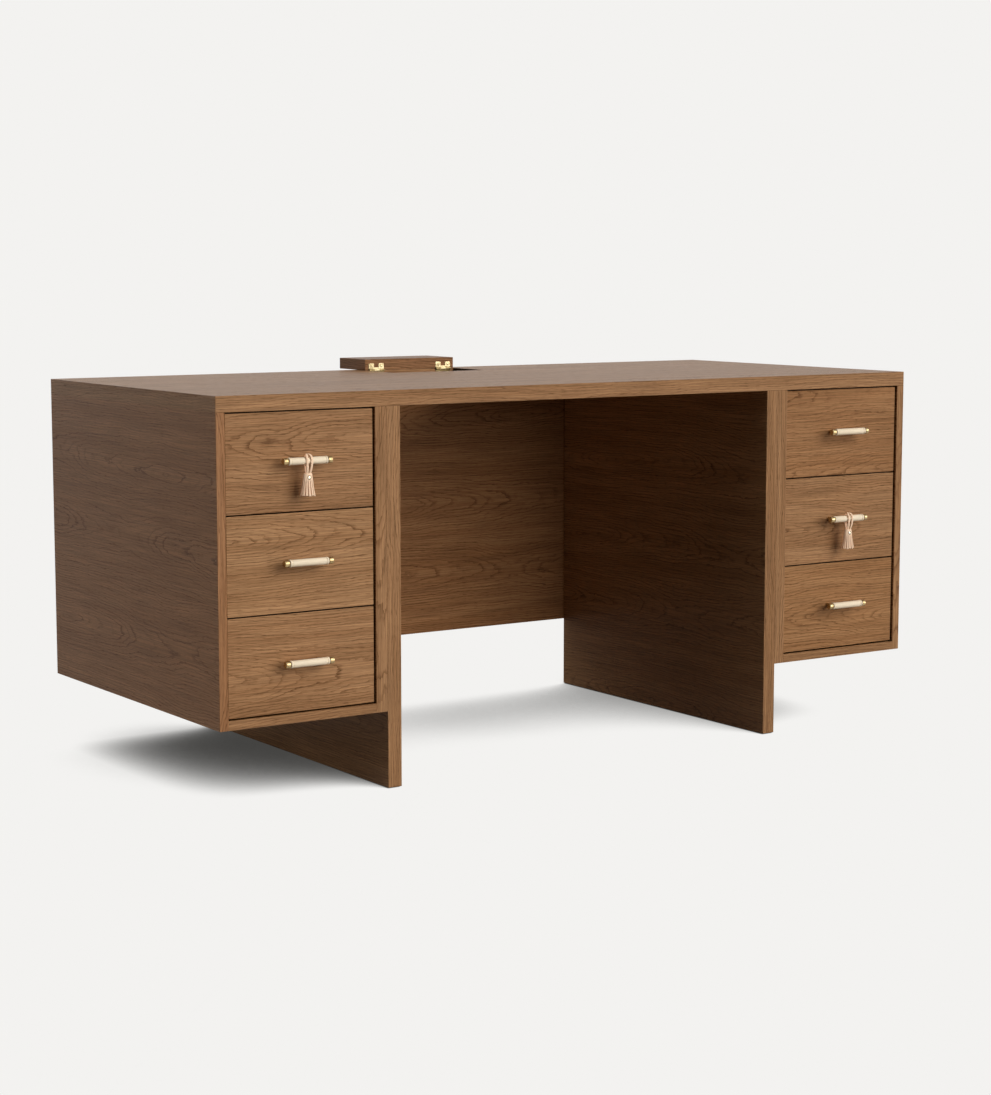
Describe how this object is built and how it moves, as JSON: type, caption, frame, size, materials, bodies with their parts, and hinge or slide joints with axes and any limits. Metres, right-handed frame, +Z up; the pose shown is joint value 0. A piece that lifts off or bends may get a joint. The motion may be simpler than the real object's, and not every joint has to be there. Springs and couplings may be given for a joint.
{
  "type": "pedestal desk",
  "caption": "Kneehole desk with hanging drawer pedestals beside slab legs, leather-wrapped bar pulls, leather tassels and a hinged cable lid in its top.",
  "frame": {"origin": "on the floor, under the middle of the whole desk from its tassels to its open cable lid", "axes": "+Z up, the drawers face -Y, +X to the right of someone facing the drawers"},
  "size_m": [1.674, 0.841, 0.7863],
  "materials": {
    "oak_veneer": "satin mid-brown oak veneer",
    "drawer_wood": "clear satin drawer timber",
    "runner_steel": "zinc plated",
    "brass": "polished",
    "grip_leather": "cream, sewn",
    "tassel_leather": "blush tan",
    "glide_plastic": "moulded"
  },
  "bodies": {
    "desk": {"left_side_panel": "oak_veneer", "left_inner_panel": "oak_veneer", "left_pedestal_floor": "oak_veneer", "left_slab_leg": "oak_veneer", "right_side_panel": "oak_veneer", "right_inner_panel": "oak_veneer", "right_pedestal_floor": "oak_veneer", "right_slab_leg": "oak_veneer", "desk_top": "oak_veneer", "back_panel": "oak_veneer", "top_rails": "drawer_wood", "floor_glides": "glide_plastic", "cabinet_runners": "runner_steel", "hinge_frame_leaves": "brass", "hinge_pins": "brass", "hinge_frame_screws": "brass"},
    "lid": {"cable_lid": "oak_veneer", "hinge_lid_leaves": "brass", "hinge_lid_screws": "brass"},
    "left_top_drawer": {"left_top_drawer_front": "oak_veneer", "left_top_drawer_box": "drawer_wood", "left_top_drawer_runners": "runner_steel", "left_top_pull": "brass", "left_top_pull_grip": "grip_leather"},
    "left_top_middle": {"left_top_middle_runners": "runner_steel"},
    "left_tassel": {"left_tassel": "tassel_leather", "left_tassel_stud": "brass"},
    "left_middle_drawer": {"left_middle_drawer_front": "oak_veneer", "left_middle_drawer_box": "drawer_wood", "left_middle_drawer_runners": "runner_steel", "left_middle_pull": "brass", "left_middle_pull_grip": "grip_leather"},
    "left_middle_middle": {"left_middle_middle_runners": "runner_steel"},
    "left_bottom_drawer": {"left_bottom_drawer_front": "oak_veneer", "left_bottom_drawer_box": "drawer_wood", "left_bottom_drawer_runners": "runner_steel", "left_bottom_pull": "brass", "left_bottom_pull_grip": "grip_leather"},
    "left_bottom_middle": {"left_bottom_middle_runners": "runner_steel"},
    "right_top_drawer": {"right_top_drawer_front": "oak_veneer", "right_top_drawer_box": "drawer_wood", "right_top_drawer_runners": "runner_steel", "right_top_pull": "brass", "right_top_pull_grip": "grip_leather"},
    "right_top_middle": {"right_top_middle_runners": "runner_steel"},
    "right_middle_drawer": {"right_middle_drawer_front": "oak_veneer", "right_middle_drawer_box": "drawer_wood", "right_middle_drawer_runners": "runner_steel", "right_middle_pull": "brass", "right_middle_pull_grip": "grip_leather"},
    "right_middle_middle": {"right_middle_middle_runners": "runner_steel"},
    "right_tassel": {"right_tassel": "tassel_leather", "right_tassel_stud": "brass"},
    "right_bottom_drawer": {"right_bottom_drawer_front": "oak_veneer", "right_bottom_drawer_box": "drawer_wood", "right_bottom_drawer_runners": "runner_steel", "right_bottom_pull": "brass", "right_bottom_pull_grip": "grip_leather"},
    "right_bottom_middle": {"right_bottom_middle_runners": "runner_steel"}
  },
  "joints": [
    {"name": "lid_hinge", "type": "hinge", "parent": "desk", "child": "lid", "pos_m": [0, 0.30572, 0.76215], "axis": [1, 0, 0], "range_deg": [0, 180]},
    {"name": "left_top_drawer_slide", "type": "slide", "parent": "desk", "child": "left_top_drawer", "axis": [0, -1, 0], "range_m": [0, 0.55]},
    {"name": "left_top_middle_slide", "type": "slide", "parent": "desk", "child": "left_top_middle", "axis": [0, -1, 0], "range_m": [0, 0.275]},
    {"name": "left_tassel_swing", "type": "hinge", "parent": "left_top_drawer", "child": "left_tassel", "pos_m": [-0.662, -0.41048, 0.63967], "axis": [1, 0, 0], "range_deg": [-75, 12]},
    {"name": "left_middle_drawer_slide", "type": "slide", "parent": "desk", "child": "left_middle_drawer", "axis": [0, -1, 0], "range_m": [0, 0.55]},
    {"name": "left_middle_middle_slide", "type": "slide", "parent": "desk", "child": "left_middle_middle", "axis": [0, -1, 0], "range_m": [0, 0.275]},
    {"name": "left_bottom_drawer_slide", "type": "slide", "parent": "desk", "child": "left_bottom_drawer", "axis": [0, -1, 0], "range_m": [0, 0.55]},
    {"name": "left_bottom_middle_slide", "type": "slide", "parent": "desk", "child": "left_bottom_middle", "axis": [0, -1, 0], "range_m": [0, 0.275]},
    {"name": "right_top_drawer_slide", "type": "slide", "parent": "desk", "child": "right_top_drawer", "axis": [0, -1, 0], "range_m": [0, 0.55]},
    {"name": "right_top_middle_slide", "type": "slide", "parent": "desk", "child": "right_top_middle", "axis": [0, -1, 0], "range_m": [0, 0.275]},
    {"name": "right_middle_drawer_slide", "type": "slide", "parent": "desk", "child": "right_middle_drawer", "axis": [0, -1, 0], "range_m": [0, 0.55]},
    {"name": "right_middle_middle_slide", "type": "slide", "parent": "desk", "child": "right_middle_middle", "axis": [0, -1, 0], "range_m": [0, 0.275]},
    {"name": "right_tassel_swing", "type": "hinge", "parent": "right_middle_drawer", "child": "right_tassel", "pos_m": [0.662, -0.41048, 0.4525], "axis": [1, 0, 0], "range_deg": [-75, 12]},
    {"name": "right_bottom_drawer_slide", "type": "slide", "parent": "desk", "child": "right_bottom_drawer", "axis": [0, -1, 0], "range_m": [0, 0.55]},
    {"name": "right_bottom_middle_slide", "type": "slide", "parent": "desk", "child": "right_bottom_middle", "axis": [0, -1, 0], "range_m": [0, 0.275]}
  ],
  "couplings": [
    {"joint": "left_top_middle_slide", "follows": "left_top_drawer_slide", "ratio": 0.5},
    {"joint": "left_middle_middle_slide", "follows": "left_middle_drawer_slide", "ratio": 0.5},
    {"joint": "left_bottom_middle_slide", "follows": "left_bottom_drawer_slide", "ratio": 0.5},
    {"joint": "right_top_middle_slide", "follows": "right_top_drawer_slide", "ratio": 0.5},
    {"joint": "right_middle_middle_slide", "follows": "right_middle_drawer_slide", "ratio": 0.5},
    {"joint": "right_bottom_middle_slide", "follows": "right_bottom_drawer_slide", "ratio": 0.5}
  ]
}
